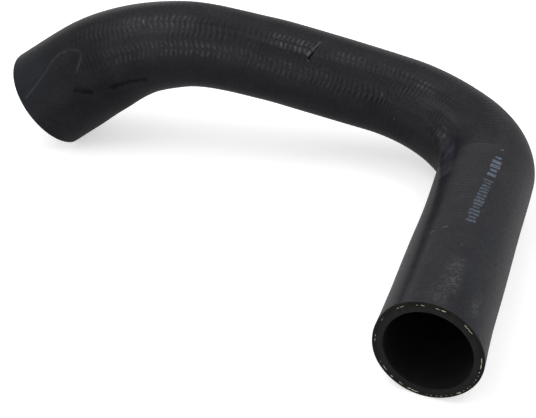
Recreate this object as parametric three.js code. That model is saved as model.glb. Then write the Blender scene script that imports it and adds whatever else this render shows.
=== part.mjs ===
// Charge air hose: one moulded rubber hose, all of it one wall round one bore.
// Millimetres, +Z up. The hose lies as it comes to rest, its near leg along +Y on the surface.
import * as THREE from "three";

// Bores and walls
const nearBore = 45;
const farBore = 61;
const wall = 5.5;
const edgeRound = 0.8;

// Route of the bore's centreline, from the near mouth to the far one
const nearLegLength = 178;
const tightRadius = 51;
const tightTurn = 52;
const easyRadius = 86;
const easyTurn = 50;
const middleLegLength = 92;
const sweepRadius = 138;
const sweepTurn = 49;
const sweepPlane = 90;
const farLegLength = 40;

// The far end opens out over a length, and ends in a straight cuff for its clamp
const flareLength = 120;
const farCuffLength = 20;

// Rubber gathered on the inside of the tight turn: how far it stands out, and how far it reaches each way
const gatherRise = 3;
const gatherReach = 100;

// The near mouth is cut a little off square, longer on the outside of the turn
const nearCutTilt = 4.5;
const nearCutBlend = 24;

// Facets
const sides = 40;
const turnStep = 4.5;
const legStep = 22;
const flareStep = 11;
const leastStep = 3.6;
const roundSteps = 2;

// Rolls tried for the one that the hose comes to rest at, in degrees
const leastRoll = -30;
const mostRoll = 60;
const rollError = 0.0001;
const settlingPasses = 4;

const nearRadius = nearBore / 2 + wall;
const farRadius = farBore / 2 + wall;

// A leg runs straight. A turn swings round an axis square to the hose,
// and plane says how far that axis is turned about the hose's own direction.
const route = [
  { length: nearLegLength },
  { radius: tightRadius, turn: tightTurn, plane: 0 },
  { radius: easyRadius, turn: easyTurn, plane: 0 },
  { length: middleLegLength },
  { radius: sweepRadius, turn: sweepTurn, plane: sweepPlane },
  { length: farLegLength },
];

// Where a section begins: a point, the way on, and the two directions across the hose
function firstFrame() {
  const along = new THREE.Vector3(0, 1, 0);
  const across = new THREE.Vector3(1, 0, 0);
  const above = new THREE.Vector3(0, 0, 1);
  return { at: new THREE.Vector3(), along, across, above };
}

// The same frame, carried a distance into a section
function carried(start, section, distance) {
  const at = start.at.clone();
  if (!section.radius) {
    at.addScaledVector(start.along, distance);
    return { ...start, at };
  }
  const plane = THREE.MathUtils.degToRad(section.plane);
  const axis = start.above.clone().multiplyScalar(Math.cos(plane));
  axis.addScaledVector(start.across, -Math.sin(plane));
  const toCentre = axis.clone().cross(start.along).multiplyScalar(section.radius);
  const swing = distance / section.radius;
  const spoke = toCentre.clone().negate().applyAxisAngle(axis, swing);
  at.add(toCentre).add(spoke);
  const turned = (v) => v.clone().applyAxisAngle(axis, swing);
  return {
    at,
    along: turned(start.along),
    across: turned(start.across),
    above: turned(start.above),
  };
}

function sectionLength(section) {
  return section.radius ? section.radius * THREE.MathUtils.degToRad(section.turn) : section.length;
}

// Sections in order, each with its first frame and its place along the hose
const sections = [];
let frame = firstFrame();
let hoseLength = 0;
for (const section of route) {
  const length = sectionLength(section);
  sections.push({ ...section, frame, from: hoseLength, length });
  frame = carried(frame, section, length);
  hoseLength += length;
}

function frameAt(distance) {
  const section = sections.findLast((s) => distance >= s.from) ?? sections[0];
  return carried(section.frame, section, distance - section.from);
}

// Distances along the hose where its wall has a ring of corners
function stations() {
  const flareFrom = hoseLength - farCuffLength - flareLength;
  const marks = [edgeRound, hoseLength - edgeRound, hoseLength - farCuffLength, nearCutBlend];
  for (const section of sections) {
    const steps = Math.ceil(section.radius ? section.turn / turnStep : section.length / legStep);
    for (let i = 0; i < steps; i++) marks.push(section.from + (section.length * i) / steps);
  }
  const flareSteps = Math.ceil(flareLength / flareStep);
  for (let i = 0; i < flareSteps; i++) marks.push(flareFrom + (flareLength * i) / flareSteps);
  marks.sort((a, b) => a - b);
  const spaced = [edgeRound];
  for (const mark of marks) {
    const last = spaced[spaced.length - 1];
    if (mark - last > leastStep && hoseLength - edgeRound - mark > leastStep) spaced.push(mark);
  }
  spaced.push(hoseLength - edgeRound);
  return spaced;
}

// How much wider than the near end the hose is at a place, 0 at the start of the flare and 1 in the cuff
function flareShare(distance) {
  const flareFrom = hoseLength - farCuffLength - flareLength;
  return THREE.MathUtils.smoothstep(distance, flareFrom, flareFrom + flareLength);
}

const outerRadius = (distance) => THREE.MathUtils.lerp(nearRadius, farRadius, flareShare(distance));
const boreRadius = (distance) => outerRadius(distance) - wall;

// A quarter round of the wall's edge about a centre, from one angle to the next in degrees
function quarterRound(centreRadius, centreDistance, fromAngle) {
  const points = [];
  for (let i = 1; i < roundSteps; i++) {
    const angle = THREE.MathUtils.degToRad(fromAngle + (90 * i) / roundSteps);
    const reach = new THREE.Vector2(Math.cos(angle), Math.sin(angle)).multiplyScalar(edgeRound);
    points.push(new THREE.Vector2(centreRadius, centreDistance).add(reach));
  }
  return points;
}

// The wall's section as it is before the hose is bent: x is the radius, y the distance along it
function wallSection() {
  const marks = stations();
  const far = hoseLength;
  const outside = marks.map((s) => new THREE.Vector2(outerRadius(s), s));
  const inside = marks.map((s) => new THREE.Vector2(boreRadius(s), s)).reverse();
  const points = [
    new THREE.Vector2(nearRadius - edgeRound, 0),
    ...quarterRound(nearRadius - edgeRound, edgeRound, 270),
    ...outside,
    ...quarterRound(farRadius - edgeRound, far - edgeRound, 0),
    new THREE.Vector2(farRadius - edgeRound, far),
    new THREE.Vector2(farRadius - wall + edgeRound, far),
    ...quarterRound(farRadius - wall + edgeRound, far - edgeRound, 90),
    ...inside,
    ...quarterRound(nearRadius - wall + edgeRound, edgeRound, 180),
    new THREE.Vector2(nearRadius - wall + edgeRound, 0),
  ];
  points.push(points[0].clone());
  return points;
}

// Shift along the hose that tilts the near cut, fading out up the leg
function cutShift(across, distance) {
  const fade = Math.max(0, 1 - distance / nearCutBlend);
  return -across * Math.tan(THREE.MathUtils.degToRad(nearCutTilt)) * fade;
}

// Extra reach of the outer skin on the inside of the tight turn, which lies towards -across
function gather(across, radius, distance, isOuter) {
  const middle = nearLegLength + sectionLength(sections[1]) / 2;
  const away = Math.abs(distance - middle) / gatherReach;
  if (!isOuter || away >= 1 || across >= 0) return 0;
  return gatherRise * Math.cos((away * Math.PI) / 2) ** 2 * (across / radius) ** 2;
}

// Where the facets start for one of them to face down under the near leg, once the hose is rolled
function facetStart(roll) {
  const facet = (2 * Math.PI) / sides;
  return THREE.MathUtils.euclideanModulo(Math.PI - roll - facet / 2, facet);
}

// The straight sleeve, bent along the route
function bentSleeve(roll) {
  const sleeve = new THREE.LatheGeometry(wallSection(), sides, facetStart(roll));
  const corners = sleeve.getAttribute("position");
  for (let i = 0; i < corners.count; i++) {
    const across = corners.getX(i);
    const above = corners.getZ(i);
    const distance = corners.getY(i);
    const radius = Math.hypot(across, above);
    const isOuter = radius > outerRadius(distance) - wall / 2;
    const grown = 1 + gather(across, radius, distance, isOuter) / radius;
    const here = frameAt(distance);
    const corner = here.at.clone();
    corner.addScaledVector(here.along, cutShift(across, distance));
    corner.addScaledVector(here.across, across * grown);
    corner.addScaledVector(here.above, above * grown);
    corners.setXYZ(i, corner.x, corner.y, corner.z);
  }
  sleeve.computeVertexNormals();
  return sleeve;
}

// Height of the lowest corner clear of the near leg, once the hose is rolled about that leg's centreline
function lowestCorner(corners, roll) {
  let low = Infinity;
  for (let i = 0; i < corners.count; i++) {
    const x = corners.getX(i);
    const z = corners.getZ(i);
    if (Math.hypot(x, z) > nearRadius * 2) low = Math.min(low, z * Math.cos(roll) - x * Math.sin(roll));
  }
  return low;
}

// Roll that lays the far mouth's rim on the same surface as the near leg's facet, found by halving a range
function restingRoll(sleeve) {
  const corners = sleeve.getAttribute("position");
  const facetLevel = -nearRadius * Math.cos(Math.PI / sides);
  let less = leastRoll;
  let more = mostRoll;
  while (more - less > rollError) {
    const roll = (less + more) / 2;
    if (lowestCorner(corners, THREE.MathUtils.degToRad(roll)) < facetLevel) less = roll;
    else more = roll;
  }
  return THREE.MathUtils.degToRad(less);
}

const rubber = new THREE.MeshStandardMaterial({ color: 0x1b1b20, roughness: 0.55, metalness: 0 });

// The facet that faces down and the roll at rest depend on each other, so they are found in a few passes
let roll = 0;
let bent = bentSleeve(roll);
for (let i = 0; i < settlingPasses; i++) {
  bent = bentSleeve(roll);
  roll = restingRoll(bent);
}
const hose = new THREE.Mesh(bent, rubber);
hose.name = "hose";
hose.rotation.y = roll;

// The origin is under the middle of the hose's box, on the surface it lies on
hose.updateMatrixWorld(true);
const box = new THREE.Box3().setFromObject(hose, true);
const middle = box.getCenter(new THREE.Vector3());
hose.position.set(-middle.x, -middle.y, -box.min.z);

const part = new THREE.Group();
part.add(hose);

export default part;
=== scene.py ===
import bpy
import math
import random
import numpy as np
from mathutils import Matrix, Vector


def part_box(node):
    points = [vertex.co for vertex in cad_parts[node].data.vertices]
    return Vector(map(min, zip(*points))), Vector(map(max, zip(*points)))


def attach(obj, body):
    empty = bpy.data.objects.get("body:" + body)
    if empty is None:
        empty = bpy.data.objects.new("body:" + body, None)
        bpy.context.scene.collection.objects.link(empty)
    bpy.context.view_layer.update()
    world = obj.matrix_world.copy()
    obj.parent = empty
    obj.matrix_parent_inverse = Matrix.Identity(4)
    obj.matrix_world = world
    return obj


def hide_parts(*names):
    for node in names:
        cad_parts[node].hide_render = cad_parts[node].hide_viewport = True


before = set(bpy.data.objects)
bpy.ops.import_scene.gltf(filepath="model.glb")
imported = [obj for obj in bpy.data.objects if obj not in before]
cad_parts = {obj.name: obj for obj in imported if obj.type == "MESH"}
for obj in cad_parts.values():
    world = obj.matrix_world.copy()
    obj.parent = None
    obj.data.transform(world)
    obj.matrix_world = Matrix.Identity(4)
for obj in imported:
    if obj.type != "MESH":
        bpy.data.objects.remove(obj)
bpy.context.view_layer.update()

mm = 0.001


# Small helpers for node trees
def addNode(tree, kind, inputs=None, **settings):
    node = tree.nodes.new(kind)
    for name, value in settings.items():
        setattr(node, name, value)
    for key, value in (inputs or {}).items():
        if isinstance(value, bpy.types.NodeSocket):
            tree.links.new(value, node.inputs[key])
        else:
            node.inputs[key].default_value = value
    return node


def calc(tree, operation, *values):
    inputs = dict(enumerate(values))
    return addNode(tree, "ShaderNodeMath", inputs, operation=operation).outputs[0]


def vectorCalc(tree, operation, *values):
    inputs = dict(enumerate(values))
    return addNode(tree, "ShaderNodeVectorMath", inputs, operation=operation).outputs["Vector"]


def scaled(tree, vector, share):
    inputs = {"Vector": vector, "Scale": share}
    return addNode(tree, "ShaderNodeVectorMath", inputs, operation="SCALE").outputs["Vector"]


def fade(tree, value, fromMin, fromMax, toMin=0.0, toMax=1.0):  # a smooth step between two values
    inputs = {"Value": value, "From Min": fromMin, "From Max": fromMax, "To Min": toMin, "To Max": toMax}
    return addNode(tree, "ShaderNodeMapRange", inputs, interpolation_type="SMOOTHSTEP").outputs["Result"]


def band(tree, value, low, high, soft):  # 1 between low and high, fading to 0 over soft at each side
    rising = fade(tree, value, low - soft, low + soft)
    falling = fade(tree, value, high - soft, high + soft, 1.0, 0.0)
    return calc(tree, "MULTIPLY", rising, falling)


def product(tree, *values):
    result = values[0]
    for value in values[1:]:
        result = calc(tree, "MULTIPLY", result, value)
    return result


def storeLayers(mesh, layers):  # one value for each corner of a mesh, in each layer
    for name, values in layers.items():
        layer = mesh.attributes.new(name, "FLOAT", "POINT")
        layer.data.foreach_set("value", np.asarray(values, dtype=np.float32))


def stored(tree, name, kind="FLOAT"):  # such a layer, in geometry nodes
    return addNode(tree, "GeometryNodeInputNamedAttribute", {"Name": name}, data_type=kind).outputs[0]


def painted(tree, name):  # the same in a material
    return addNode(tree, "ShaderNodeAttribute", attribute_name=name).outputs["Fac"]


def newTree(name, inputs):
    tree = bpy.data.node_groups.new(name, "GeometryNodeTree")
    tree.interface.new_socket("Geometry", in_out="INPUT", socket_type="NodeSocketGeometry")
    for label, kind, value in inputs:
        socket = tree.interface.new_socket(label, in_out="INPUT", socket_type="NodeSocket" + kind)
        if value is not None:
            socket.default_value = value
    tree.interface.new_socket("Geometry", in_out="OUTPUT", socket_type="NodeSocketGeometry")
    return tree


def bakeNodes(piece, tree, values=None):  # runs a tree on a piece and keeps the result as its plain mesh
    modifier = piece.modifiers.new(tree.name, "NODES")
    modifier.node_group = tree
    for item in tree.interface.items_tree:
        if item.in_out == "INPUT" and item.name in (values or {}):
            modifier[item.identifier] = values[item.name]
    evaluated = piece.evaluated_get(bpy.context.evaluated_depsgraph_get())
    mesh = bpy.data.meshes.new_from_object(evaluated)
    piece.modifiers.remove(modifier)
    piece.data = mesh
    mesh.name = piece.name


def newPiece(name, mesh):
    piece = bpy.data.objects.new(name, mesh)
    bpy.context.scene.collection.objects.link(piece)
    return piece


# The hose in millimetres and degrees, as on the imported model
hose = {
    "nearRadius": 28.0,
    "farRadius": 36.0,
    "wall": 5.5,
    "edgeRound": 0.8,
    "route": [  # a leg has a length, a turn a radius, an angle and the plane it swings in
        {"length": 178.0},
        {"radius": 51.0, "turn": 52.0, "plane": 0.0},
        {"radius": 86.0, "turn": 50.0, "plane": 0.0},
        {"length": 92.0},
        {"radius": 138.0, "turn": 49.0, "plane": 90.0},
        {"length": 40.0},
    ],
    "flareLength": 120.0,
    "farCuff": 20.0,
    "gatherRise": 3.0,
    "gatherReach": 100.0,
    "cutTilt": 4.5,
    "cutBlend": 24.0,
    "mouthReach": 1.0,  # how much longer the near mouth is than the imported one, over the same blend
    "restRoll": 14.37,
    "sides": 104,
    "skinStep": 0.72,
    "boreStep": 6.0,
    "roundSteps": 4,
}


# Centreline of the bore as points, each carried on from the last along its leg or turn
def routePoints(step=1.0):
    at = Vector((0, 0, 0))
    along = Vector((0, 1, 0))
    across = Vector((1, 0, 0))
    above = Vector((0, 0, 1))
    points = [at.copy()]
    for section in hose["route"]:
        if "length" in section:
            count = round(section["length"] / step)
            for i in range(count):
                at = at + along * (section["length"] / count)
                points.append(at.copy())
            continue
        plane = math.radians(section["plane"])
        axis = above * math.cos(plane) - across * math.sin(plane)
        centre = at + axis.cross(along) * section["radius"]
        count = round(section["radius"] * math.radians(section["turn"]) / step)
        swing = Matrix.Rotation(math.radians(section["turn"]) / count, 3, axis)
        for i in range(count):
            at = centre + swing @ (at - centre)
            along = swing @ along
            across = swing @ across
            above = swing @ above
            points.append(at.copy())
    return points


def sectionLength(section):
    return section.get("length") or section["radius"] * math.radians(section["turn"])


hoseLength = sum(sectionLength(section) for section in hose["route"])
flareFrom = hoseLength - hose["farCuff"] - hose["flareLength"]
gatherMiddle = sectionLength(hose["route"][0]) + sectionLength(hose["route"][1]) / 2


def smoothed(value, low, high):  # smooth step, of a number or an array
    share = np.clip((value - low) / (high - low), 0, 1)
    return share * share * (3 - 2 * share)


def banded(value, low, high, soft):
    return smoothed(value, low - soft, low + soft) * (1 - smoothed(value, high - soft, high + soft))


def outerRadius(along):
    grown = smoothed(along, flareFrom, flareFrom + hose["flareLength"])
    return hose["nearRadius"] + (hose["farRadius"] - hose["nearRadius"]) * grown


# Wall section before bending: radius, distance along, and 1 on the skin, 0 on a cut or -1 in the bore
def wallSection():
    small = hose["edgeRound"]
    wall = hose["wall"]
    points = []

    def quarter(radius, distance, start, skin):
        for i in range(1, hose["roundSteps"]):
            angle = math.radians(start + 90 * i / hose["roundSteps"])
            place = (radius + small * math.cos(angle), distance + small * math.sin(angle))
            points.append((*place, skin))

    def stretch(start, end, step):
        count = max(1, round(abs(end - start) / step))
        return [start + (end - start) * i / count for i in range(count + 1)]

    nearOuter = hose["nearRadius"]
    farOuter = hose["farRadius"]
    faceStep = (wall - 2 * small) / 6
    quarter(nearOuter - small, small, 270, 0)
    for along in stretch(small, hoseLength - small, hose["skinStep"]):
        points.append((outerRadius(along), along, 1))
    quarter(farOuter - small, hoseLength - small, 0, 0)
    for radius in stretch(farOuter - small, farOuter - wall + small, faceStep):
        points.append((radius, hoseLength, 0))
    quarter(farOuter - wall + small, hoseLength - small, 90, 0)
    for along in stretch(hoseLength - small, small, hose["boreStep"]):
        points.append((outerRadius(along) - wall, along, -1))
    quarter(nearOuter - wall + small, small, 180, 0)
    for radius in stretch(nearOuter - wall + small, nearOuter - small, faceStep):
        points.append((radius, 0, 0))
    return points


# The knit pressed into the rubber: millimetres along, degrees round
knit = {
    "along": [  # how deep it is
        (0, 0), (60, 0.04), (100, 0.14), (160, 0.22), (205, 0.6), (250, 0.9), (300, 1), (470, 1), (500, 0.5),
        (520, 0.15), (540, 0),
    ],
    "round": [  # how clearly its bars show
        (-180, 0.4), (-98, 0.25), (-84, 0.35), (-76, 0.9), (-62, 1), (-53, 0.5), (-45, 0.65), (-37, 1),
        (-24, 1), (-14, 0.3), (60, 0.25), (120, 0.4),
    ],
    "ribPitch": [(0, 3.3), (180, 3.3), (230, 3.6), (290, 3.8), (340, 3.4), (400, 3.4), (460, 3.0)],
    "depth": 0.1,
    "barHeight": 0.28,  # of the bars in the skin's bump
    "rowHeight": 12.0,  # the rows of cells run lengthwise, leaning one way and then the other
    "rowStart": -10.0,
    "lean": 0.28,  # of a rib's pitch
    "wander": 0.2,  # of a rib's pitch, and how fast it changes along and round the hose
    "wanderAlong": 0.11,
    "wanderRound": 4.0,
    "unevenScale": 0.16,
    "leastDepth": 0.6,
}

# One-off forms of the skin: millimetres along, degrees round, millimetres of height
form = {
    "patch": {"from": 345.5, "to": 377, "sinks": 22, "low": -48, "high": -20, "lean": 0.17, "rise": 0.3},
    "creases": [
        {"points": [(459, -109), (466, -106), (484, -104)], "width": 1.6, "depth": 0.3},
        {"points": [(499, -97.5), (507, -86)], "width": 1.8, "depth": 0.4},
    ],
    "wrapEdge": {"along": 168.5, "low": -52, "high": -8, "rise": 0.16, "reach": 22},
    "pleats": {"from": 200, "to": 244, "low": -98, "high": -54, "depth": 0.5, "pitch": 3.6},
}

# Slight swells of the wall off the true sleeve
swells = {
    "bulges": [  # facing and half width in degrees, then millimetres along and out
        (80, 62, [
            (0, 0.7), (6, 0.5), (16, 0.1), (28, -0.1), (64, 0.3), (118, 0.4), (142, 0.7), (160, 1.0),
            (180, 1.0), (195, 0.4), (215, 0),
        ]),
        (27, 62, [
            (180, 0), (200, 0.6), (226, 0.9), (238, 0.6), (256, 0.35), (274, 0), (290, -0.8), (325, 0),
            (355, 0.3), (372, 0.3), (388, -0.7), (402, -1.1), (418, 0), (430, 0.4), (445, 0), (480, -0.7),
            (525, -0.7), (550, 0.1),
        ]),
        (-150, 66, [
            (150, 0), (190, 1.6), (215, 2.0), (226, 1.7), (238, 1.1), (250, 0.8), (268, 0.6), (310, 0.4),
            (350, -0.1), (366, -0.4), (378, 0), (400, 0.8), (412, 0.8), (430, 0.2), (442, 0.3), (463, -0.7),
            (477, 0), (494, 1.0), (514, 0), (532, 0.4), (553, 1.3),
        ]),
        (-90, 48, [(0, -0.5), (10, -0.7), (34, -0.7), (58, -0.3), (78, 0), (160, 0)]),
    ],
    "blur": 6,  # that rounds the corners of those tables, and how far it reaches
    "blurReach": 15,
    "rests": [(-20, 225, 166), (530, 580, -176)],  # from, to and facing of the skin that lies on the floor
    "restHalf": 30,
    "restSoft": 8,
    "sway": 0.7,  # of the bore to one side at the near mouth, between two places along
    "swayFrom": 5,
    "swayTo": 60,
}


def facingShare(turned, facing, half):  # 1 at a facing, falling to 0 at half the width to each side
    away = np.clip(abs((turned - facing + 180) % 360 - 180) / half, 0, 1)
    return np.cos(away * math.pi / 2) ** 2


def swellLift(along, turned):
    steps = np.arange(-20, hoseLength + 20, 1.0)
    reach = swells["blurReach"]
    weights = np.exp(-(np.arange(-reach, reach + 1) / swells["blur"]) ** 2)
    lift = 0
    for facing, half, table in swells["bulges"]:
        even = np.convolve(np.interp(steps, *zip(*table)), weights / weights.sum(), mode="same")
        lift = lift + np.interp(along, steps, even) * facingShare(turned, facing, half)
    for start, end, facing in swells["rests"]:
        resting = banded(along, start, end, swells["restSoft"])
        lift = lift * (1 - resting * facingShare(turned, facing, swells["restHalf"]))
    return lift


def boreSway(along):
    return swells["sway"] * (1 - smoothed(along, swells["swayFrom"], swells["swayTo"]))


def gatherLift(along, turned):  # rubber gathered on the inside of the tight turn
    away = np.clip(abs(along - gatherMiddle) / hose["gatherReach"], 0, 1)
    inside = np.clip(-np.sin(np.radians(turned)), 0, 1)
    return hose["gatherRise"] * np.cos(away * math.pi / 2) ** 2 * inside ** 2


def patchLift(along, turned):  # a scrap of skin that stands up at one edge and sinks away behind it
    patch = form["patch"]
    edge = patch["from"] + patch["lean"] * (patch["high"] - turned)
    start = smoothed(along, edge - 0.5, edge + 0.5)
    left = 1 - smoothed(along, patch["to"] - patch["sinks"], patch["to"])
    return patch["rise"] * start * left * banded(turned, patch["low"], patch["high"], 3)


def wrapLift(along, turned):  # a low step where the edge of a wrap was
    wrap = form["wrapEdge"]
    near = smoothed(along, wrap["along"] - wrap["reach"], wrap["along"] - 2)
    step = near * (1 - smoothed(along, wrap["along"] - 1, wrap["along"] + 1))
    return wrap["rise"] * step * banded(turned, wrap["low"], wrap["high"], 9)


def pleatDepth(along, turned):
    pleats = form["pleats"]
    ripple = 0.5 - 0.5 * np.cos(2 * math.pi * along / pleats["pitch"])
    where = banded(along, pleats["from"], pleats["to"], 8)
    return pleats["depth"] * ripple * where * banded(turned, pleats["low"], pleats["high"], 10)


def strokeGap(along, across, points, radius):  # millimetres from a bent line drawn on the skin
    nearest = np.full(along.shape, 1e9)
    flat = [np.array((place, math.radians(facing) * radius)) for place, facing in points]
    for start, end in zip(flat, flat[1:]):
        reach = end - start
        share = ((along - start[0]) * reach[0] + (across - start[1]) * reach[1]) / reach.dot(reach)
        share = np.clip(share, 0, 1)
        gap = np.hypot(along - start[0] - share * reach[0], across - start[1] - share * reach[1])
        nearest = np.minimum(nearest, gap)
    return nearest


def creaseDepth(along, turned):
    depth = 0
    for crease in form["creases"]:
        radius = float(outerRadius(crease["points"][0][0]))
        gap = strokeGap(along, np.radians(turned) * radius, crease["points"], radius)
        depth = depth + crease["depth"] * np.exp(-(gap / crease["width"]) ** 2)
    return depth


def skinLift(along, turned):
    raised = gatherLift(along, turned) + patchLift(along, turned) + wrapLift(along, turned)
    return raised - creaseDepth(along, turned) - pleatDepth(along, turned)


def ribCount(along):  # ribs passed on the way from the near mouth, as their pitch changes
    steps = np.arange(0, hoseLength + 1, 1.0)
    counts = np.concatenate([[0], np.cumsum(1 / np.interp(steps, *zip(*knit["ribPitch"])))[:-1]])
    return np.interp(along, steps, counts)


def materialZone(first, second):  # 0 skin, 1 cut or 2 bore, for the faces between two points of the section
    if 1 in (first, second):
        return 0
    return 2 if -1 in (first, second) else 1


def sleeveFaces(section, sides):  # faces ring by ring, with their zones and the corners of the wrap
    faces = []
    zones = []
    corners = []
    for i in range(len(section)):
        following = (i + 1) % len(section)
        first, second = i * sides, following * sides
        here, there = section[i][1] * mm, section[following][1] * mm
        for j in range(sides):
            beside = (j + 1) % sides
            faces.append((first + j, first + beside, second + beside, second + j))
            zones.append(materialZone(section[i][2], section[following][2]))
            low, high = j / sides, (j + 1) / sides
            corners += [here, low, here, high, there, high, there, low]
    return faces, zones, corners


# The sleeve while it is straight, along +Y, with what the nodes need stored on it
def straightSleeve():
    section = wallSection()
    sides = hose["sides"]
    faces, zones, corners = sleeveFaces(section, sides)
    radius, along, kind = (np.repeat(values, sides) for values in zip(*section))
    turned = np.tile(np.arange(sides) * 360 / sides - 180, len(section))
    angle = np.radians(turned)
    places = np.stack([radius * np.sin(angle), along, radius * np.cos(angle)], 1)
    mesh = bpy.data.meshes.new("hose")
    mesh.from_pydata(places.tolist(), [], faces)
    mesh.update()
    mesh.uv_layers.new(name="wrap").data.foreach_set("uv", corners)
    isSkin = np.clip(kind, 0, 1)
    outward = np.clip((radius - outerRadius(along)) / hose["wall"] + 1, 0, 1)  # 1 on the skin, 0 in the bore
    lift = skinLift(along, turned) * isSkin + swellLift(along, turned) * outward
    layers = {
        "along": along,
        "turned": turned,
        "reach": radius,
        "lift": lift + boreSway(along) * np.sin(angle) * (1 - outward),
        "knit": np.interp(along, *zip(*knit["along"])) * isSkin,
        "ribs": ribCount(along),
    }
    storeLayers(mesh, layers)
    mesh.attributes.new("zone", "INT", "FACE").data.foreach_set("value", zones)
    return mesh


# Whole numbers on the ribs' crests, which lean one way and the other over two rows, and wander
def ribPhase(tree, ribs, along, turned, rowHeight, rowLean):
    rows = calc(tree, "DIVIDE", calc(tree, "SUBTRACT", turned, knit["rowStart"]), rowHeight)
    wave = calc(tree, "COSINE", calc(tree, "MULTIPLY", rows, math.pi))
    zigzag = calc(tree, "MULTIPLY_ADD", wave, -0.5, 0.5)
    swing = calc(tree, "MULTIPLY", turned, math.radians(knit["wanderRound"]))
    swing = calc(tree, "MULTIPLY_ADD", along, knit["wanderAlong"], swing)
    wander = calc(tree, "MULTIPLY", calc(tree, "SINE", swing), knit["wander"])
    return calc(tree, "ADD", calc(tree, "ADD", ribs, calc(tree, "MULTIPLY", zigzag, rowLean)), wander)


def ribWave(tree, phase, middle):  # 1 from crest to groove, about a middle height
    wave = calc(tree, "COSINE", calc(tree, "MULTIPLY", phase, 2 * math.pi))
    return calc(tree, "MULTIPLY_ADD", wave, 0.5, middle)


def knitRelief(tree, given, along, turned):  # grooves below the skin, in millimetres
    place = addNode(tree, "GeometryNodeInputPosition").outputs[0]
    inputs = {"Vector": place, "Scale": knit["unevenScale"], "Detail": 2.0}
    noise = addNode(tree, "ShaderNodeTexNoise", inputs).outputs[0]
    uneven = fade(tree, noise, 0.3, 0.7, knit["leastDepth"], 1.0)
    phase = ribPhase(tree, stored(tree, "ribs"), along, turned, given["Row height"], given["Row lean"])
    return product(tree, ribWave(tree, phase, -0.5), given["Knit depth"], stored(tree, "knit"), uneven)


def mouthShift(tree, given, along, across):  # tilts the near cut and carries it outward, fading up the leg
    left = calc(tree, "SUBTRACT", 1.0, calc(tree, "DIVIDE", along, given["Cut blend"]))
    left = calc(tree, "MAXIMUM", left, 0.0)
    slant = calc(tree, "MULTIPLY", calc(tree, "TANGENT", given["Cut tilt"]), left)
    shift = calc(tree, "MULTIPLY", calc(tree, "MULTIPLY", across, slant), -1.0)
    return calc(tree, "SUBTRACT", shift, calc(tree, "MULTIPLY", given["Mouth reach"], left))


def placeOnRoute(tree, given, along, across, above, shift):
    def metres(value):
        return calc(tree, "MULTIPLY", value, mm)

    curve = addNode(tree, "GeometryNodeObjectInfo", {"Object": given["Route"]}).outputs["Geometry"]
    inputs = {"Curves": curve, "Length": metres(along)}
    sample = addNode(tree, "GeometryNodeSampleCurve", inputs, mode="LENGTH", use_all_curves=True).outputs
    sideways = sample["Normal"]
    upward = vectorCalc(tree, "CROSS_PRODUCT", sideways, sample["Tangent"])
    offset = scaled(tree, sideways, metres(across))
    offset = vectorCalc(tree, "ADD", offset, scaled(tree, upward, metres(above)))
    offset = vectorCalc(tree, "ADD", offset, scaled(tree, sample["Tangent"], metres(shift)))
    return vectorCalc(tree, "ADD", sample["Position"], offset)


def laidDown(tree, given, geometry):  # rolled about the near leg and set on the floor
    turn = addNode(tree, "ShaderNodeCombineXYZ", {"Y": given["Roll"]}).outputs[0]
    return addNode(tree, "GeometryNodeTransform", {
        "Geometry": geometry, "Translation": given["Place"], "Rotation": turn}).outputs[0]


# Geometry nodes that press the knit into the straight sleeve, then bend it along the route
def mouldTree(materials):
    tree = newTree("mouldHose", [
        ("Route", "Object", None),
        ("Knit depth", "Float", knit["depth"]),
        ("Row height", "Float", knit["rowHeight"]),
        ("Row lean", "Float", knit["lean"]),
        ("Cut tilt", "Float", math.radians(hose["cutTilt"])),
        ("Cut blend", "Float", hose["cutBlend"]),
        ("Mouth reach", "Float", hose["mouthReach"]),
        ("Roll", "Float", 0.0),
        ("Place", "Vector", (0, 0, 0)),
    ])
    given = addNode(tree, "NodeGroupInput").outputs
    turned = stored(tree, "turned")
    along = stored(tree, "along")
    relief = knitRelief(tree, given, along, turned)
    reach = calc(tree, "ADD", calc(tree, "ADD", stored(tree, "reach"), stored(tree, "lift")), relief)
    angle = calc(tree, "RADIANS", turned)
    across = calc(tree, "MULTIPLY", reach, calc(tree, "SINE", angle))
    above = calc(tree, "MULTIPLY", reach, calc(tree, "COSINE", angle))
    shift = mouthShift(tree, given, along, across)
    place = placeOnRoute(tree, given, along, across, above, shift)
    inputs = {"Geometry": given["Geometry"], "Position": place}
    geometry = addNode(tree, "GeometryNodeSetPosition", inputs).outputs[0]
    geometry = laidDown(tree, given, geometry)
    geometry = addNode(tree, "GeometryNodeSetShadeSmooth", {"Geometry": geometry}).outputs[0]
    geometry = addNode(tree, "GeometryNodeRealizeInstances", {"Geometry": geometry}).outputs[0]
    zone = stored(tree, "zone", "INT")
    for index, material in enumerate(materials):
        inputs = {2: zone, 3: index}
        chosen = addNode(tree, "FunctionNodeCompare", inputs, data_type="INT", operation="EQUAL").outputs[0]
        inputs = {"Geometry": geometry, "Selection": chosen, "Material": material}
        geometry = addNode(tree, "GeometryNodeSetMaterial", inputs).outputs[0]
    addNode(tree, "NodeGroupOutput", {"Geometry": geometry})
    return tree


def routeCurve():
    curve = bpy.data.curves.new("route", "CURVE")
    curve.dimensions = "3D"
    points = routePoints()
    spline = curve.splines.new("POLY")
    spline.points.add(len(points) - 1)
    for spot, point in zip(spline.points, points):
        spot.co = (*(point * mm), 1)
    return newPiece("route", curve)


# Where the straight hose's near mouth comes to lie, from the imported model's box
nodeLow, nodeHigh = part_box("hose")
restRoll = math.radians(hose["restRoll"])
cutReach = (hose["nearRadius"] - hose["edgeRound"]) * math.tan(math.radians(hose["cutTilt"])) * mm
nearMouth = (
    nodeHigh[0] - hose["nearRadius"] * mm,
    nodeLow[1] + cutReach,
    nodeLow[2] + hose["nearRadius"] * mm,
)

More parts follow.
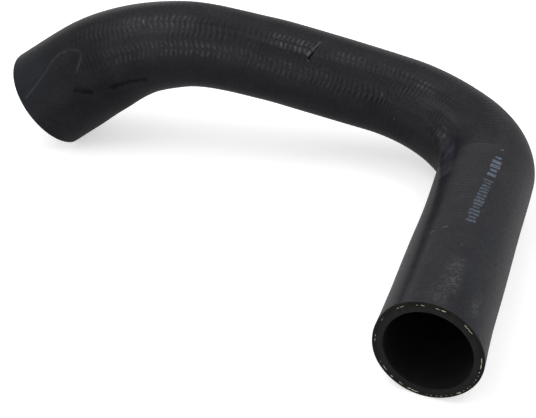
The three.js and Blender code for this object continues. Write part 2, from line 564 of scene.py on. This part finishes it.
# Marks on the skin, in millimetres along and degrees round. A spot has from, to, low, high and strength,
# beside how soft its edges are along and round. A stroke has its start, end, width and strength.
marks = {
    "farBluish": {"soft": (12, 14), "spots": [(518, 560, -72, -12, 0.5)]},
    "nearBluish": {"soft": (25, 10), "spots": [(-20, 96, 4, 34, 0.25)]},
    "smudge": {"soft": (12, 9), "spots": [(-20, 22, 2, 18, 0.15)]},
    "chalk": {"soft": (5, 6), "spots": [
        (2, 16, -20, -4, 0.9), (14, 42, -12, 4, 0.8), (15, 31, -8, 4, 1.2), (9, 26, 25, 33, 0.9),
    ]},
    "paintedHighlight": {"soft": (4, 2.5), "spots": [  # painted highlights on the knit's crests
        (256, 270, -40, -28, 0.9), (270, 306, -37, -24, 0.3), (312, 334, -38, -24, 0.6),
        (350, 376, -44, -22, 1.0), (424, 466, -49, -24, 0.6), (275, 330, -82, -66, 0.12),
        (330, 480, -83, -58, 0.35), (400, 450, -80, -62, 0.6), (210, 228, -82, -66, 1.0),
        (228, 244, -90, -62, 0.15),
    ]},
    "crook": [  # painted light: paler streaks towards the tight turn, lifting the shade of the crook
        ((140, -61), (164, -67), 5.0, 0.9), ((166, -68), (198, -77), 5.0, 1.5),
        ((202, -79), (215, -80), 5.0, 0.4),
    ],
    # painted shade in the dark gap at the scrap's raised edge
    "nickShade": [((349.8, -48), (347.8, -38), 0.75, 1), ((347.8, -38), (345.8, -28), 0.35, 1)],
    # painted highlight along the raised edge of the scrap of skin
    "nickEdgeHighlight": [((350.8, -43), (348.4, -33), 1.3, 1), ((348.4, -33), (345.2, -19), 0.6, 1)],
    "flecks": [
        ((66, -44), (67.2, -42), 0.8, 0.13), ((69.6, -31.5), (70.3, -27.8), 0.7, 0.16),
        ((55, -6), (56, -5), 0.5, 0.1), ((219.5, -96), (220.5, -95.6), 0.5, 0.4),
        ((276.4, -94), (276.8, -92), 0.5, 0.3), ((295, -68.3), (295.6, -66.3), 0.9, 0.18),
        ((166, 2), (167, 4), 0.5, 0.5), ((349.3, -51.5), (349.8, -50), 0.5, 0.15),
        ((452.4, -35), (453.2, -30), 0.45, 0.3),
    ],
    "scratch": {"width": 0.9, "points": [
        (544, -64), (536, -60.5), (521, -52), (512, -44), (506, -41.5), (499, -43), (494, -48), (492.5, -54),
        (495, -61), (500, -70),
    ]},
    "ink": {
        "blocks": [(78, 127, 3.6, 0.45), (131, 158, 5.4, 0.75)],  # from, to, pitch of the dashes, strength
        "middle": (-5.0, 1.5),
        "height": 12.6,
    },
}

# The skin's colours, and the painted shade that darkens it along and round the hose
skin = {
    "bare": ((0.0125, 0.0121, 0.0163), (0.0225, 0.0217, 0.0262)),  # both ends of its clouds
    "bluish": (0.018, 0.024, 0.032),
    # the colour of the painted highlights on the knit's crests and the nick's edge
    "paintedHighlight": (0.13, 0.127, 0.13),
    "chalk": (0.14, 0.14, 0.148),
    "ink": (0.16, 0.21, 0.28),
    "scratch": (0.11, 0.11, 0.12),
    "fleck": (0.3, 0.3, 0.3),
    # painted shade, darker towards the far end where less light falls
    "paintedShadeAlong": [
        (0, 0.96), (60, 0.95), (150, 0.92), (180, 0.83), (230, 0.77), (290, 0.76), (450, 0.74), (490, 0.59),
        (553, 0.72),
    ],
    # painted shade in one band round the hose
    "paintedShadeRound": [(-180, 1), (-136, 1), (-120, 0.82), (-98, 0.82), (-84, 1), (180, 1)],
    "coat": 0.3,  # of the tone
    "mottle": (0.8, 0.6),  # noise on the tone: its share and the least of it
    "pastWrap": 0.16,  # how much darker the skin is past the edge of the wrap
    "creaseShadeShare": 0.55,  # of the nick's painted shade, in the creases
    "crestHighlightShare": 0.75,  # of the painted highlight colour on the knit's crests, and along the nick
    "nickHighlightShare": 0.6,
    "chalkShare": 0.6,
    "chalkHaze": 0.38,  # of the chalk between its lines, and in them
    "chalkLines": 0.75,
    "scribbles": [(0.6, 0.5, 0.3), (-0.9, 0.6, 0.24), (0.1, 0.9, 0.36)],  # lean, squeeze and scale of them
    "scratchShare": 0.34,
    "grain": 0.05,  # of the bars' height
}


def newMaterial(name, values):
    material = bpy.data.materials.new(name)
    material.use_nodes = True
    tree = material.node_tree
    shader = tree.nodes["Principled BSDF"]
    for label, value in values.items():
        shader.inputs[label].default_value = value
    return material, tree, shader


def mixColour(tree, share, first, second):
    node = addNode(tree, "ShaderNodeMix", data_type="RGBA")
    for socket, value in ((node.inputs[0], share), (node.inputs[6], first), (node.inputs[7], second)):
        if isinstance(value, bpy.types.NodeSocket):
            tree.links.new(value, socket)
        else:
            socket.default_value = value if isinstance(value, float) else (*value, 1)
    return node.outputs[2]


def strongest(tree, masks):
    result = 0.0
    for mask in masks:
        result = calc(tree, "MAXIMUM", result, mask)
    return result


def lessened(tree, lit, mask, share=1.0):  # less light where a mask is, by a share of it
    return calc(tree, "MULTIPLY", lit, calc(tree, "MULTIPLY_ADD", mask, -share, 1.0))


def noiseOn(tree, place, scale, detail=3.0, roughness=0.55, distortion=0.0):
    inputs = {"Vector": place, "Scale": scale, "Detail": detail, "Roughness": roughness}
    inputs["Distortion"] = distortion
    return addNode(tree, "ShaderNodeTexNoise", inputs).outputs[0]


def profile(tree, place, table):  # a value that runs straight between the places in a table
    total = table[0][1]
    for (start, low), (end, high) in zip(table, table[1:]):
        inputs = {"Value": place, "From Min": start, "From Max": end, "To Min": 0.0, "To Max": high - low}
        total = calc(tree, "ADD", addNode(tree, "ShaderNodeMapRange", inputs).outputs["Result"], total)
    return total


def skinPlaces(tree):  # where a point of the skin is: in the object, along the hose and round it
    place = addNode(tree, "ShaderNodeTexCoord").outputs["Object"]
    wrap = addNode(tree, "ShaderNodeUVMap", uv_map="wrap").outputs[0]
    flat = addNode(tree, "ShaderNodeSeparateXYZ", {"Vector": wrap}).outputs
    along = calc(tree, "DIVIDE", flat["X"], mm)
    turned = calc(tree, "MULTIPLY_ADD", flat["Y"], 360.0, -180.0)
    farAcross = calc(tree, "MULTIPLY", turned, math.radians(1) * hose["farRadius"])
    wobble = calc(tree, "MULTIPLY_ADD", noiseOn(tree, place, 300.0, 3.0), 5.0, -2.5)
    return {
        "object": place,
        "along": along,
        "turned": turned,
        "nearAcross": calc(tree, "MULTIPLY", turned, math.radians(1) * hose["nearRadius"]),
        "farAcross": farAcross,
        "alongWobbly": calc(tree, "MULTIPLY_ADD", wobble, 0.6, along),
        "farWobbly": calc(tree, "ADD", farAcross, wobble),
    }


def spotted(tree, on, mark):  # the spots of a mark as a mask
    softAlong, softRound = mark["soft"]
    masks = []
    for start, end, low, high, strength in mark["spots"]:
        where = band(tree, on["along"], start, end, softAlong)
        masks.append(product(tree, where, band(tree, on["turned"], low, high, softRound), strength))
    return strongest(tree, masks)


def strokeMask(tree, along, across, radius, start, end, width, soft):  # 1 on a straight line on the skin
    startAcross = math.radians(start[1]) * radius
    reachAlong = end[0] - start[0]
    reachAcross = math.radians(end[1]) * radius - startAcross
    square = reachAlong ** 2 + reachAcross ** 2
    pastAlong = calc(tree, "SUBTRACT", along, start[0])
    pastAcross = calc(tree, "SUBTRACT", across, startAcross)
    share = calc(tree, "MULTIPLY", pastAcross, reachAcross / square)
    share = calc(tree, "MULTIPLY_ADD", pastAlong, reachAlong / square, share)
    share = addNode(tree, "ShaderNodeClamp", {"Value": share}).outputs[0]
    offAlong = calc(tree, "SUBTRACT", pastAlong, calc(tree, "MULTIPLY", share, reachAlong))
    offAcross = calc(tree, "SUBTRACT", pastAcross, calc(tree, "MULTIPLY", share, reachAcross))
    gap = calc(tree, "MULTIPLY_ADD", offAlong, offAlong, calc(tree, "MULTIPLY", offAcross, offAcross))
    return fade(tree, calc(tree, "SQRT", gap), width * 0.4, width * soft, 1.0, 0.0)


def stroked(tree, along, across, radius, strokes, soft=1.3):  # strokes as a mask
    masks = []
    for start, end, width, strength in strokes:
        mask = strokeMask(tree, along, across, radius, start, end, width, soft)
        masks.append(calc(tree, "MULTIPLY", mask, strength))
    return strongest(tree, masks)


def joined(points, width, strength):  # a bent line as strokes from point to point
    return [(start, end, width, strength) for start, end in zip(points, points[1:])]


def knitBars(tree, on):  # bars of the knit, one to a rib in each row, and the same where the knit shows
    row = calc(tree, "DIVIDE", calc(tree, "SUBTRACT", on["turned"], knit["rowStart"]), knit["rowHeight"])
    ribs = painted(tree, "ribs")
    phase = ribPhase(tree, ribs, on["along"], on["turned"], knit["rowHeight"], knit["lean"])
    bar = calc(tree, "POWER", ribWave(tree, phase, 0.5), 1.3)
    ends = fade(tree, calc(tree, "PINGPONG", row, 0.5), 0.02, 0.28, 0.05, 1.0)
    rib = calc(tree, "FLOOR", calc(tree, "ADD", phase, 0.5))
    cell = addNode(tree, "ShaderNodeCombineXYZ", {"X": rib, "Y": calc(tree, "FLOOR", row)}).outputs[0]
    chance = addNode(tree, "ShaderNodeTexWhiteNoise", {"Vector": cell}, noise_dimensions="2D").outputs[0]
    everywhere = product(tree, bar, ends, calc(tree, "MULTIPLY_ADD", chance, 0.5, 0.5))
    shown = profile(tree, on["turned"], knit["round"])
    return everywhere, product(tree, everywhere, painted(tree, "knit"), shown)


def patchMask(tree, on):
    patch = form["patch"]
    start = patch["from"] + patch["lean"] * patch["high"]
    edge = calc(tree, "MULTIPLY_ADD", on["turned"], -patch["lean"], start)
    past = calc(tree, "SUBTRACT", on["along"], edge)
    sides = band(tree, on["turned"], patch["low"] + 2, patch["high"], 2)
    return product(tree, fade(tree, past, 0.0, 1.0), fade(tree, past, 22.0, 32.0, 1.0, 0.0), sides)


def pleatMask(tree, on):
    pleats = form["pleats"]
    spot = (pleats["from"], pleats["to"], pleats["low"], pleats["high"], 1)
    return spotted(tree, on, {"soft": (6, 7), "spots": [spot]})


def bareColour(tree, on, cloud):
    colour = mixColour(tree, fade(tree, cloud, 0.2, 0.8), *skin["bare"])
    bluish = strongest(tree, [spotted(tree, on, marks["farBluish"]), spotted(tree, on, marks["nearBluish"])])
    return mixColour(tree, bluish, colour, skin["bluish"])


def withPaintedHighlights(tree, on, colour, crests):  # painted highlights on the knit's crests and along the nick's edge
    # noise that breaks the painted highlights up into glints
    brokenUp = fade(tree, noiseOn(tree, on["object"], 260.0, 3.0), 0.35, 0.62, 0.35, 1.25)
    bright = product(tree, spotted(tree, on, marks["paintedHighlight"]), crests, brokenUp, skin["crestHighlightShare"])
    colour = mixColour(tree, bright, colour, skin["paintedHighlight"])
    # painted highlight along the scrap's raised edge
    edge = stroked(tree, on["alongWobbly"], on["nearAcross"], hose["nearRadius"], marks["nickEdgeHighlight"])
    return mixColour(tree, product(tree, edge, brokenUp, skin["nickHighlightShare"]), colour, skin["paintedHighlight"])


def chalkMask(tree, on, patches):  # pale rub marks near the cut end, in broken lines across the hose
    lines = []
    for lean, squeeze, scale in skin["scribbles"]:
        flatPlace = addNode(tree, "ShaderNodeCombineXYZ", {
            "X": calc(tree, "MULTIPLY_ADD", on["nearAcross"], lean, on["along"]),
            "Y": calc(tree, "MULTIPLY", on["nearAcross"], squeeze),
            "Z": lean * 30,
        }).outputs[0]
        scribble = noiseOn(tree, flatPlace, scale, 1.5, 0.5, 0.6)
        offRidge = calc(tree, "ABSOLUTE", calc(tree, "SUBTRACT", scribble, 0.5))
        lines.append(fade(tree, offRidge, 0.006, 0.03, 1.0, 0.0))
    haze = fade(tree, noiseOn(tree, on["object"], 700.0, 4.0, 0.75), 0.4, 0.7)
    strokes = calc(tree, "MULTIPLY", strongest(tree, lines), skin["chalkLines"])
    strokes = calc(tree, "MULTIPLY_ADD", haze, skin["chalkHaze"], strokes)
    broken = fade(tree, patches, 0.35, 0.6, 0.25, 1.0)
    return product(tree, spotted(tree, on, marks["chalk"]), strokes, broken)


def inkMask(tree, on):  # a worn row of plain dashes, of uneven width and height
    ink = marks["ink"]
    start, end = ink["blocks"][0][0], ink["blocks"][-1][1]
    middle = fade(tree, on["along"], start, end, *ink["middle"])
    offLine = calc(tree, "ABSOLUTE", calc(tree, "SUBTRACT", on["turned"], middle))
    blocks = []
    for start, end, pitch, strength in ink["blocks"]:
        count = calc(tree, "DIVIDE", calc(tree, "SUBTRACT", on["along"], start), pitch)
        dash = {"W": calc(tree, "FLOOR", count)}
        chance = addNode(tree, "ShaderNodeTexWhiteNoise", dash, noise_dimensions="1D").outputs[0]
        offDash = calc(tree, "ABSOLUTE", calc(tree, "SUBTRACT", calc(tree, "FRACT", count), 0.5))
        halfWide = calc(tree, "MULTIPLY_ADD", chance, 0.14, 0.24)
        halfTall = calc(tree, "MULTIPLY_ADD", chance, ink["height"] * 0.2, ink["height"] * 0.3)
        wide = fade(tree, calc(tree, "SUBTRACT", offDash, halfWide), -0.04, 0.04, 1.0, 0.0)
        tall = fade(tree, calc(tree, "SUBTRACT", offLine, halfTall), -0.6, 0.6, 1.0, 0.0)
        blocks.append(product(tree, wide, tall, band(tree, on["along"], start, end, 0.4), strength))
    brokenUp = fade(tree, noiseOn(tree, on["object"], 700.0, 4.0, 0.7), 0.34, 0.56, 0.25, 1.0)
    return product(tree, strongest(tree, blocks), brokenUp)


def scratchMask(tree, on, patches):  # one thin hooked scratch
    strokes = joined(marks["scratch"]["points"], marks["scratch"]["width"], 1)
    line = stroked(tree, on["along"], on["farAcross"], hose["farRadius"], strokes)
    return product(tree, line, fade(tree, patches, 0.38, 0.6, 0.35, 0.9), skin["scratchShare"])


def nickAndCreaseShade(tree, on):  # painted shade in the nick and the creases, with ragged edges
    creases = []
    for crease in form["creases"]:
        creases += joined(crease["points"], crease["width"] * 0.7, skin["creaseShadeShare"])
    dark = strongest(tree, [
        stroked(tree, on["alongWobbly"], on["nearAcross"], hose["nearRadius"], marks["nickShade"]),
        stroked(tree, on["along"], on["farWobbly"], hose["farRadius"], creases, 2.6),
    ])
    return calc(tree, "MULTIPLY", dark, fade(tree, noiseOn(tree, on["object"], 320.0), 0.3, 0.55, 0.4, 0.9))


def pastWrapMask(tree, on):  # the skin past the edge of the wrap, fading away from it
    wrap = form["wrapEdge"]
    start = fade(tree, on["along"], wrap["along"] - 0.8, wrap["along"] + 0.6)
    left = fade(tree, on["along"], wrap["along"] + 6, wrap["along"] + 60, 1.0, 0.0)
    return product(tree, start, left, band(tree, on["turned"], wrap["low"], wrap["high"], 7.0))


def paintedCrookLight(tree, on):  # painted light: how much paler the streaks towards the tight turn are, lifting the crook's shade
    streaks = addNode(tree, "ShaderNodeCombineXYZ", {
        "X": calc(tree, "MULTIPLY", on["along"], 0.12),
        "Y": calc(tree, "MULTIPLY", on["nearAcross"], 0.55),
    }).outputs[0]
    lightStreaks = fade(tree, noiseOn(tree, streaks, 1.0, 3.0), 0.3, 0.7, 0.45, 1.4)
    crook = stroked(tree, on["along"], on["nearAcross"], hose["nearRadius"], marks["crook"])
    return calc(tree, "MULTIPLY_ADD", crook, lightStreaks, 1.0)


# the skin's tone: painted shade in the nick, creases and along and round the hose, painted light in the
# crook, beside the real smudge, wrap step and mottle
def skinTone(tree, on):
    # painted shade in the nick and the creases
    lit = lessened(tree, 1.0, nickAndCreaseShade(tree, on))
    lit = lessened(tree, lit, pastWrapMask(tree, on), skin["pastWrap"])
    # painted light in the shaded crook of the tight turn
    lit = calc(tree, "MULTIPLY", lit, paintedCrookLight(tree, on))
    lit = lessened(tree, lit, spotted(tree, on, marks["smudge"]))
    mottle = noiseOn(tree, on["object"], 520.0, 4.0, 0.7)
    lit = calc(tree, "MULTIPLY", lit, calc(tree, "MULTIPLY_ADD", mottle, *skin["mottle"]))
    shadeAlong = profile(tree, on["along"], skin["paintedShadeAlong"])
    shadeRound = profile(tree, on["turned"], skin["paintedShadeRound"])
    return product(tree, shadeAlong, shadeRound, lit)


def skinMaterial():
    material, tree, shader = newMaterial("moulded rubber", {"Specular IOR Level": 0.0})
    on = skinPlaces(tree)
    cloud = noiseOn(tree, on["object"], 60.0, 5.0, 0.6)
    patches = noiseOn(tree, on["object"], 95.0, 3.0, 0.6)
    everywhere, bars = knitBars(tree, on)
    gathered = calc(tree, "MULTIPLY", pleatMask(tree, on), everywhere)
    chalk = chalkMask(tree, on, patches)
    flecks = stroked(tree, on["along"], on["nearAcross"], hose["nearRadius"], marks["flecks"])

    colour = bareColour(tree, on, cloud)
    # painted highlights on the knit's crests and along the nick's edge
    colour = withPaintedHighlights(tree, on, colour, calc(tree, "MAXIMUM", bars, gathered))
    colour = mixColour(tree, calc(tree, "MULTIPLY", chalk, skin["chalkShare"]), colour, skin["chalk"])
    colour = mixColour(tree, inkMask(tree, on), colour, skin["ink"])
    colour = mixColour(tree, scratchMask(tree, on, patches), colour, skin["scratch"])
    colour = mixColour(tree, flecks, colour, skin["fleck"])
    tone = skinTone(tree, on)
    tree.links.new(scaled(tree, colour, tone), shader.inputs["Base Color"])

    rough = calc(tree, "MULTIPLY_ADD", chalk, 0.3, fade(tree, cloud, 0.2, 0.8, 0.27, 0.33))
    tree.links.new(rough, shader.inputs["Roughness"])
    tree.links.new(rough, shader.inputs["Coat Roughness"])
    # the coat follows the tone, painted shade and light included
    tree.links.new(calc(tree, "MULTIPLY", tone, skin["coat"]), shader.inputs["Coat Weight"])
    relief = calc(tree, "MULTIPLY", bars, calc(tree, "MULTIPLY_ADD", patchMask(tree, on), 1.2, 1.0))
    relief = calc(tree, "MAXIMUM", relief, calc(tree, "MULTIPLY", gathered, 1.1))
    grain = noiseOn(tree, on["object"], 900.0, 3.0)
    bump = addNode(tree, "ShaderNodeBump", {
        "Strength": 1.0,
        "Distance": knit["barHeight"] * mm,
        "Height": calc(tree, "MULTIPLY_ADD", grain, skin["grain"], relief),
    }).outputs[0]
    tree.links.new(bump, shader.inputs["Normal"])
    tree.links.new(bump, shader.inputs["Coat Normal"])
    return material


# The cut faces, the bore and the broken threads, each clouded between two shades
shades = {
    "cutInner": ((0.0105, 0.0105, 0.0105), (0.0150, 0.0150, 0.0150)),
    "cutOuter": ((0.0060, 0.0063, 0.0048), (0.0105, 0.0110, 0.0085)),
    "plyEdge": (25.0, 26.2),  # millimetres from the bore's middle, where the outer ply begins
    # the bore's black rubber, darkened further with painted shade for the dark inside of the hose
    "bore": ((0.003, 0.003, 0.003), (0.005, 0.005, 0.005)),
    "thread": ((0.30, 0.29, 0.22), (0.62, 0.60, 0.50)),
}


def clouds(tree, place, scale, detail=3.0):
    return fade(tree, noiseOn(tree, place, scale, detail), 0.35, 0.65)


def cutMaterial():
    material, tree, shader = newMaterial("cut rubber", {"Roughness": 0.8, "Specular IOR Level": 0.1})
    place = addNode(tree, "ShaderNodeTexCoord").outputs["Object"]
    cloud = clouds(tree, place, 300.0, 4.0)
    ply = fade(tree, painted(tree, "reach"), *shades["plyEdge"])
    inner = mixColour(tree, cloud, *shades["cutInner"])
    outer = mixColour(tree, cloud, *shades["cutOuter"])
    tree.links.new(mixColour(tree, ply, inner, outer), shader.inputs["Base Color"])
    inputs = {"Strength": 0.3, "Distance": 0.0004, "Height": noiseOn(tree, place, 1400.0)}
    bump = addNode(tree, "ShaderNodeBump", inputs)
    tree.links.new(bump.outputs[0], shader.inputs["Normal"])
    return material


def cloudedMaterial(name, scale, colours, values):
    material, tree, shader = newMaterial(name, values)
    place = addNode(tree, "ShaderNodeTexCoord").outputs["Object"]
    colour = mixColour(tree, clouds(tree, place, scale), *colours)
    tree.links.new(colour, shader.inputs["Base Color"])
    return material


def boreMaterial():
    values = {"Roughness": 0.7, "Specular IOR Level": 0.15}
    return cloudedMaterial("bore rubber", 120.0, shades["bore"], values)


def threadMaterial():
    return cloudedMaterial("broken thread", 900.0, shades["thread"], {"Roughness": 0.85})


print("moulding the hose")
route = routeCurve()
hosePiece = newPiece("moulded_hose", straightSleeve())
bakeNodes(hosePiece, mouldTree([skinMaterial(), cutMaterial(), boreMaterial()]), {
    "Route": route, "Roll": restRoll, "Place": nearMouth})
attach(hosePiece, "root")
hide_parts("hose")
print("hose:", len(hosePiece.data.polygons), "faces")


# Ends of the reinforcing thread, broken off in the near cut face
threads = {
    "radius": 26.4,  # of the ring they lie on
    "sag": 0.55,  # how far that ring is off centre, and towards which side
    "sagTowards": 62,
    "depth": 0.35,
    "strand": 0.9,
    "scatter": 0.14,
    "twist": 9,  # of a strand out of the ring's line, in degrees
    "overlap": (1.2, 1.7),  # least and most of a strand's share of the length, and of its thickness
    "thicker": (0.8, 1.3),
    "seed": 7,
    "ends": [  # degrees round, length and thickness
        (331, 0.7, 0.2), (337, 1.8, 0.3), (309, 1.1, 0.22), (314, 1.7, 0.28), (353, 1.7, 0.25),
        (359, 2.2, 0.45), (30, 5.3, 0.28), (69, 2.6, 0.45), (76, 2.9, 0.4), (84, 0.5, 0.3), (89, 0.4, 0.25),
        (95, 0.6, 0.3), (99, 0.4, 0.25), (106, 0.4, 0.27), (110, 0.4, 0.25), (116, 0.6, 0.3),
        (123, 2.3, 0.5), (132, 0.4, 0.3), (138, 0.4, 0.22), (144, 0.5, 0.25), (149, 0.5, 0.25),
        (155, 0.6, 0.27), (160, 0.5, 0.25), (173, 3.5, 0.42), (180, 1.4, 0.42), (190, 2.1, 0.36),
        (203, 1.4, 0.28), (215, 2.8, 0.22), (224, 0.5, 0.2), (253, 1.6, 0.3), (259, 0.9, 0.2),
        (283, 0.7, 0.2), (286, 0.4, 0.18),
    ],
}


def threadTree(material):
    tree = newTree("threadEnds", [
        ("Depth", "Float", threads["depth"] * mm),
        ("Roll", "Float", 0.0),
        ("Place", "Vector", (0, 0, 0)),
    ])
    given = addNode(tree, "NodeGroupInput").outputs
    strand = addNode(tree, "GeometryNodeMeshIcoSphere", {"Radius": 0.5, "Subdivisions": 2}).outputs[0]
    sizes = {"X": stored(tree, "length"), "Y": given["Depth"], "Z": stored(tree, "thickness")}
    size = addNode(tree, "ShaderNodeCombineXYZ", sizes).outputs[0]
    turned = calc(tree, "RADIANS", stored(tree, "turned"))
    rotation = addNode(tree, "ShaderNodeCombineXYZ", {"Y": turned}).outputs[0]
    geometry = addNode(tree, "GeometryNodeInstanceOnPoints", {
        "Points": given["Geometry"], "Instance": strand, "Rotation": rotation, "Scale": size}).outputs[0]
    geometry = laidDown(tree, given, geometry)
    geometry = addNode(tree, "GeometryNodeRealizeInstances", {"Geometry": geometry}).outputs[0]
    inputs = {"Geometry": geometry, "Material": material}
    geometry = addNode(tree, "GeometryNodeSetMaterial", inputs).outputs[0]
    addNode(tree, "NodeGroupOutput", {"Geometry": geometry})
    return tree


def threadSpots():  # one point for each strand of each end, before the hose is rolled
    chance = random.Random(threads["seed"])
    places = []
    layers = {"turned": [], "length": [], "thickness": []}
    for angle, length, thickness in threads["ends"]:
        count = max(1, round(length / threads["strand"]))
        for i in range(count):
            shift = (i - (count - 1) / 2) / count * length
            ring = threads["radius"] + threads["sag"] * math.cos(math.radians(angle - threads["sagTowards"]))
            radius = ring + chance.uniform(-1, 1) * threads["scatter"]
            turned = math.radians(angle) + shift / radius
            across, above = radius * math.sin(turned), radius * math.cos(turned)
            outward = -across * math.tan(math.radians(hose["cutTilt"])) - hose["mouthReach"]
            places.append((across * mm, outward * mm, above * mm))
            twist = chance.uniform(-threads["twist"], threads["twist"])
            layers["turned"].append(math.degrees(turned) + twist)
            layers["length"].append(length / count * chance.uniform(*threads["overlap"]) * mm)
            layers["thickness"].append(thickness * chance.uniform(*threads["thicker"]) * mm)
    mesh = bpy.data.meshes.new("thread spots")
    mesh.from_pydata(places, [], [])
    storeLayers(mesh, layers)
    return mesh


print("thread ends")
threadPiece = newPiece("thread_ends", threadSpots())
bakeNodes(threadPiece, threadTree(threadMaterial()), {"Roll": restRoll, "Place": nearMouth})
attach(threadPiece, "root")
bpy.data.objects.remove(route)


# Camera as the photograph was taken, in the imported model's frame
camera = {
    "place": (0.21111, -0.50805, 0.33855),
    "yaw": -19.99,  # degrees from +Y towards +X
    "down": 31.64,
    "roll": -0.25,
    "focalPixels": 994.8,
    "imageWidth": 536,
}


def addCamera():
    data = bpy.data.cameras.new("camera")
    data.sensor_width = 36
    data.lens = camera["focalPixels"] * data.sensor_width / camera["imageWidth"]
    data.clip_start = 0.01
    thing = newPiece("camera", data)
    yaw, down, roll = (math.radians(camera[name]) for name in ("yaw", "down", "roll"))
    forward = Vector((math.sin(yaw) * math.cos(down), math.cos(yaw) * math.cos(down), -math.sin(down)))
    right = Vector((math.cos(yaw), -math.sin(yaw), 0))
    up = right.cross(forward)
    right = right * math.cos(roll) + up * math.sin(roll)
    up = right.cross(forward)
    turn = Matrix((right, up, -forward)).transposed()
    thing.matrix_world = Matrix.Translation(camera["place"]) @ turn.to_4x4()
    bpy.context.scene.camera = thing


# A pale floor, a bright world and soft lamps round the hose
studio = {
    "floorHalf": 1.1,
    "floorColour": (0.82, 0.82, 0.82, 1),
    "floorGlow": 0.55,  # added where the camera sees the floor, so that it comes out white
    "floorMirrored": 0.46,  # the same for mirrored and refracted rays
    "worldLight": 0.32,
    "worldSeen": 1.0,
    "lampDistance": 1.5,
    "lampSize": 0.8,
    "aim": (0, 0, 0.05),
    "lamps": [  # azimuth from +Y towards +X, elevation, power
        (-150, 60, 4.0), (-90, 60, 3.5), (-30, 60, 1.0), (30, 60, 1.5), (90, 60, 3.5),
        (-160, 30, 1.9), (-120, 30, 1.0), (80, 30, 1.5), (160, 30, 1.5),
        (-40, 8, 1.7), (0, 8, 0.8), (172, 8, 1.8),
    ],
}


def seenRays(tree):  # 1 for the camera's rays, and 1 for mirrored and refracted ones
    rays = addNode(tree, "ShaderNodeLightPath").outputs
    return rays["Is Camera Ray"], calc(tree, "MAXIMUM", rays["Is Glossy Ray"], rays["Is Transmission Ray"])


def addFloor():
    size = studio["floorHalf"]
    mesh = bpy.data.meshes.new("floor")
    corners = [(-size, -size, 0), (size, -size, 0), (size, size, 0), (-size, size, 0)]
    mesh.from_pydata(corners, [], [(0, 1, 2, 3)])
    floor = newPiece("floor", mesh)
    material, tree, shader = newMaterial("pale floor", {
        "Base Color": studio["floorColour"],
        "Roughness": 0.9,
        "Specular IOR Level": 0.0,
        "Emission Color": (1, 1, 1, 1),
    })
    direct, mirrored = seenRays(tree)
    glow = calc(tree, "MULTIPLY", direct, studio["floorGlow"])
    glow = calc(tree, "MULTIPLY_ADD", mirrored, studio["floorMirrored"], glow)
    tree.links.new(glow, shader.inputs["Emission Strength"])
    mesh.materials.append(material)


def addWorld():
    world = bpy.data.worlds.new("studio")
    bpy.context.scene.world = world
    world.use_nodes = True
    tree = world.node_tree
    background = tree.nodes["Background"]
    seen = calc(tree, "MAXIMUM", *seenRays(tree))
    strength = fade(tree, seen, 0.0, 1.0, studio["worldLight"], studio["worldSeen"])
    background.inputs["Color"].default_value = (1, 1, 1, 1)
    tree.links.new(strength, background.inputs["Strength"])


def addLamp(azimuth, elevation, power):
    turn, lift = math.radians(azimuth), math.radians(elevation)
    away = Vector((math.sin(turn) * math.cos(lift), math.cos(turn) * math.cos(lift), math.sin(lift)))
    data = bpy.data.lights.new("softbox", "AREA")
    data.shape = "DISK"
    data.size = studio["lampSize"]
    data.energy = power
    lamp = newPiece("softbox", data)
    lamp.location = Vector(studio["aim"]) + away * studio["lampDistance"]
    lamp.rotation_euler = (-away).to_track_quat("-Z", "Y").to_euler()


print("studio")
addCamera()
addFloor()
addWorld()
for lampValues in studio["lamps"]:
    addLamp(*lampValues)
bpy.context.scene.view_settings.view_transform = "Standard"
